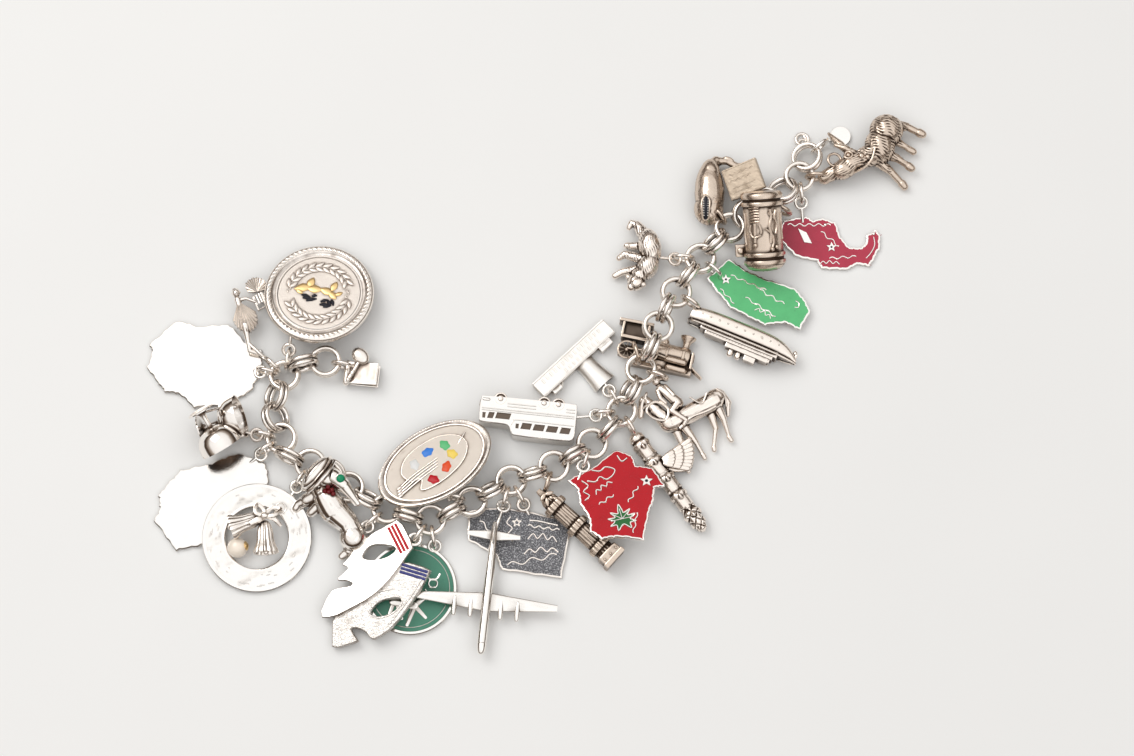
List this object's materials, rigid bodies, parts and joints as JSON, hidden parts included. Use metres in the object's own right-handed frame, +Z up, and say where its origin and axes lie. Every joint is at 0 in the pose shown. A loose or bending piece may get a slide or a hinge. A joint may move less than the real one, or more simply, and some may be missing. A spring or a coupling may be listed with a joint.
{
  "type": "charm bracelet",
  "caption": "Open charm bracelet lying flat: a double cable chain with soldered and ring-hung charms of animals, vehicles, masks, discs and enamelled map plates.",
  "frame": {"origin": "centre of the overall box, on the surface that the bracelet lies on", "axes": "+Z up from the surface, +X along the longer side of the laid-out bracelet, from the clasp end towards the far end, +Y towards the back of the layout"},
  "size_m": [0.1734, 0.1218, 0.015],
  "materials": {
    "polished_silver": "mirror polished silver",
    "worn_silver": "worn silver with darkened recesses",
    "antiqued_silver": "antiqued cast silver",
    "oxidised_silver": "blackened silver with polished relief",
    "red_enamel": "gloss vitreous enamel on silver",
    "pink_enamel": "gloss vitreous enamel on silver",
    "green_enamel": "gloss vitreous enamel on silver",
    "dark_green_enamel": "gloss vitreous enamel on silver",
    "pearl": "pearl lustre"
  },
  "bodies": {
    "root": {"chain_1": "worn_silver", "chain_2": "worn_silver", "chain_3": "worn_silver", "chain_4": "worn_silver", "chain_5": "worn_silver", "chain_6": "worn_silver", "chain_7": "worn_silver", "clasp_tongue": "worn_silver", "medallion": "worn_silver", "dancer": "antiqued_silver", "map_plain_a": "polished_silver", "cup_pair": "polished_silver", "map_plain_b": "polished_silver", "ring_disc": "worn_silver", "hound": "polished_silver", "palette_disc": "worn_silver", "masks": "polished_silver", "zodiac_disc": "dark_green_enamel", "aeroplane": "polished_silver", "map_dark": "oxidised_silver", "tower": "antiqued_silver", "map_red": "red_enamel", "bus": "polished_silver", "banner_bar": "worn_silver", "engine": "antiqued_silver", "horse_and_rider": "antiqued_silver", "totem_pole": "antiqued_silver", "ship": "antiqued_silver", "map_green": "green_enamel", "bear": "antiqued_silver", "whale": "antiqued_silver", "plaque": "antiqued_silver", "barrel": "antiqued_silver", "map_pink": "pink_enamel", "donkey": "antiqued_silver", "end_tag": "polished_silver", "jump_ring_medallion": "worn_silver", "jump_ring_map_plain_a": "worn_silver", "jump_ring_cup_pair": "worn_silver", "jump_ring_map_plain_b": "worn_silver", "jump_ring_ring_disc": "worn_silver", "jump_ring_hound": "worn_silver", "jump_ring_palette_disc": "worn_silver", "jump_ring_masks": "worn_silver", "jump_ring_zodiac_disc": "worn_silver", "jump_ring_aeroplane": "worn_silver", "jump_ring_map_dark": "worn_silver", "jump_ring_map_red": "worn_silver", "jump_ring_bus": "worn_silver", "jump_ring_banner_bar": "worn_silver", "jump_ring_bear": "worn_silver", "jump_ring_map_pink": "worn_silver", "bell_jump_ring": "worn_silver", "end_ring": "worn_silver", "wedding_bells": "polished_silver", "pearl": "pearl"}
  },
  "joints": []
}
